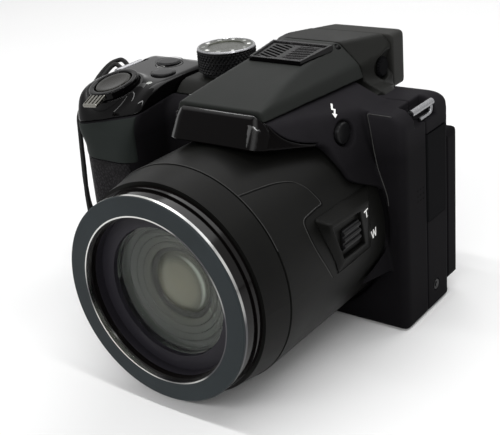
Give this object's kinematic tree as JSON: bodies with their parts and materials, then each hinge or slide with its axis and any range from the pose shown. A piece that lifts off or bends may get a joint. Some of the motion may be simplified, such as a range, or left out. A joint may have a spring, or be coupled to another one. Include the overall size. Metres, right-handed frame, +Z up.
{
  "type": "bridge camera",
  "caption": "Compact bridge camera with a telescoping zoom lens, pop-up flash, electronic viewfinder, mode dial, shutter with zoom lever and a tilting rear monitor.",
  "frame": {"origin": "centre of the tripod socket's mouth on the base plane, at mid-width of the body", "axes": "+Z up, lens looks along -Y, +X towards the camera's left side"},
  "size_m": [0.1274, 0.1224, 0.0828],
  "materials": {
    "shell": "fine matte grain",
    "gloss": "polished black",
    "rubber": "matte",
    "inner": "matte",
    "board": "solder mask",
    "steel": "brushed",
    "chrome": "polished",
    "alloy": "satin",
    "brass": "turned",
    "glass": "coated",
    "screen": "glossy panel",
    "cord": "braided"
  },
  "bodies": {
    "body": {"front_cover": "shell", "rear_cover": "shell", "top_cover": "shell", "grip_cap": "gloss", "grip_rubber": "rubber", "fascia": "gloss", "eyecup": "rubber", "eyepiece_lens": "glass", "viewfinder_display": "inner", "fixed_barrel": "shell", "zoom_pod": "shell", "lens_frame": "inner", "aperture_unit": "inner", "image_sensor": "board", "zoom_motor": "alloy", "chassis": "alloy", "main_board": "board", "switch_boards": "board", "battery_box": "inner", "battery": "inner", "memory_card": "gloss", "hinge_pins": "steel", "tripod_socket": "brass", "screws": "steel", "eyelets": "chrome", "speaker": "inner", "leash_cord": "cord"},
    "middle": {"middle_barrel": "gloss", "zoom_group": "glass"},
    "cam": {"cam_ring": "inner"},
    "front": {"front_barrel": "gloss", "name_ring": "gloss", "trim_rings": "chrome", "front_element": "glass"},
    "focus": {"focus_group": "glass"},
    "side_slider": {"zoom_slider": "shell"},
    "flash": {"flash_lid": "shell", "flash_head": "glass", "mic_grille": "gloss"},
    "flash_key": {"flash_button": "shell"},
    "mode": {"mode_dial": "gloss"},
    "shutter": {"shutter_button": "gloss"},
    "lever": {"zoom_lever": "gloss"},
    "power_key": {"power_button": "gloss"},
    "burst_key": {"burst_button": "gloss"},
    "diopter": {"diopter_dial": "rubber"},
    "command": {"command_dial": "rubber"},
    "movie_key": {"movie_button": "shell"},
    "playback_key": {"playback_button": "shell"},
    "menu_key": {"menu_button": "shell"},
    "delete_key": {"delete_button": "shell"},
    "display_key": {"display_button": "shell"},
    "view_key": {"view_button": "shell"},
    "selector": {"multi_selector": "shell"},
    "ok_key": {"ok_button": "shell"},
    "arm": {"monitor_arm": "steel"},
    "monitor": {"monitor_frame": "shell", "monitor_screen": "screen"},
    "battery_flap": {"battery_door": "shell"},
    "socket_flap": {"connector_cover": "rubber"}
  },
  "joints": [
    {"name": "zoom_extend", "type": "slide", "parent": "body", "child": "middle", "axis": [0, -1, 0], "range_m": [0, 0.022]},
    {"name": "front_extend", "type": "slide", "parent": "middle", "child": "front", "axis": [0, -1, 0], "range_m": [0, 0.02]},
    {"name": "cam_turn", "type": "hinge", "parent": "body", "child": "cam", "pos_m": [0.01875, -0.04, 0.0334], "axis": [0, -1, 0], "range_deg": [0, 150]},
    {"name": "focus_move", "type": "slide", "parent": "body", "child": "focus", "axis": [0, -1, 0], "range_m": [-0.003, 0.003]},
    {"name": "side_zoom", "type": "slide", "parent": "body", "child": "side_slider", "axis": [0, 0, 1], "range_m": [-0.002, 0.002], "stiffness_N_per_m": 200},
    {"name": "flash_open", "type": "hinge", "parent": "body", "child": "flash", "pos_m": [0.01875, 0.0026, 0.081], "axis": [-1, 0, 0], "range_deg": [0, 42]},
    {"name": "flash_press", "type": "slide", "parent": "body", "child": "flash_key", "axis": [-1, 0, 0], "range_m": [0, 0.0008], "stiffness_N_per_m": 400},
    {"name": "mode_turn", "type": "hinge", "parent": "body", "child": "mode", "pos_m": [-0.01665, 0.0076, 0.068], "axis": [0, 0, 1], "continuous": true},
    {"name": "shutter_press", "type": "slide", "parent": "body", "child": "shutter", "axis": [0.1014, 0.2419, -0.965], "range_m": [0, 0.0012], "stiffness_N_per_m": 400},
    {"name": "lever_turn", "type": "hinge", "parent": "body", "child": "lever", "pos_m": [-0.04365, -0.0179, 0.0669], "axis": [-0.1014, -0.2419, 0.965], "range_deg": [-20, 20], "stiffness_Nm_per_rad": 0.03},
    {"name": "power_press", "type": "slide", "parent": "body", "child": "power_key", "axis": [0, 0, -1], "range_m": [0, 0.0004], "stiffness_N_per_m": 400},
    {"name": "burst_press", "type": "slide", "parent": "body", "child": "burst_key", "axis": [0, 0, -1], "range_m": [0, 0.0004], "stiffness_N_per_m": 400},
    {"name": "diopter_turn", "type": "hinge", "parent": "body", "child": "diopter", "pos_m": [0.03775, 0.013, 0.0734], "axis": [1, 0, 0], "range_deg": [-150, 150]},
    {"name": "command_turn", "type": "hinge", "parent": "body", "child": "command", "pos_m": [-0.04725, 0.0122, 0.05675], "axis": [0, 0, 1], "continuous": true},
    {"name": "movie_press", "type": "slide", "parent": "body", "child": "movie_key", "axis": [0, -1, 0], "range_m": [0, 0.00045], "stiffness_N_per_m": 400},
    {"name": "playback_press", "type": "slide", "parent": "body", "child": "playback_key", "axis": [0, -1, 0], "range_m": [0, 0.00045], "stiffness_N_per_m": 400},
    {"name": "menu_press", "type": "slide", "parent": "body", "child": "menu_key", "axis": [0, -1, 0], "range_m": [0, 0.00045], "stiffness_N_per_m": 400},
    {"name": "delete_press", "type": "slide", "parent": "body", "child": "delete_key", "axis": [0, -1, 0], "range_m": [0, 0.00045], "stiffness_N_per_m": 400},
    {"name": "display_press", "type": "slide", "parent": "body", "child": "display_key", "axis": [0, -1, 0], "range_m": [0, 0.00045], "stiffness_N_per_m": 400},
    {"name": "view_press", "type": "slide", "parent": "body", "child": "view_key", "axis": [0, -1, 0], "range_m": [0, 0.00045], "stiffness_N_per_m": 400},
    {"name": "selector_turn", "type": "hinge", "parent": "body", "child": "selector", "pos_m": [-0.03605, 0.0163, 0.027], "axis": [0, 1, 0], "continuous": true},
    {"name": "ok_press", "type": "slide", "parent": "body", "child": "ok_key", "axis": [0, -1, 0], "range_m": [0, 0.00045], "stiffness_N_per_m": 400},
    {"name": "arm_tilt", "type": "hinge", "parent": "body", "child": "arm", "pos_m": [0.0215, 0.0165, 0.0041], "axis": [-1, 0, 0], "range_deg": [0, 82]},
    {"name": "monitor_tilt", "type": "hinge", "parent": "arm", "child": "monitor", "pos_m": [0.0215, 0.0165, 0.0544], "axis": [1, 0, 0], "range_deg": [0, 90]},
    {"name": "battery_open", "type": "hinge", "parent": "body", "child": "battery_flap", "pos_m": [-0.03325, -0.0065, 0.0013], "axis": [0, -1, 0], "range_deg": [0, 95]},
    {"name": "socket_open", "type": "hinge", "parent": "body", "child": "socket_flap", "pos_m": [0.057, 0.0031, 0.04425], "axis": [0, 0, -1], "range_deg": [0, 100]}
  ],
  "couplings": [
    {"joint": "front_extend", "follows": "zoom_extend", "ratio": 0.909},
    {"joint": "cam_turn", "follows": "zoom_extend", "rad_per_m": 118.9}
  ]
}
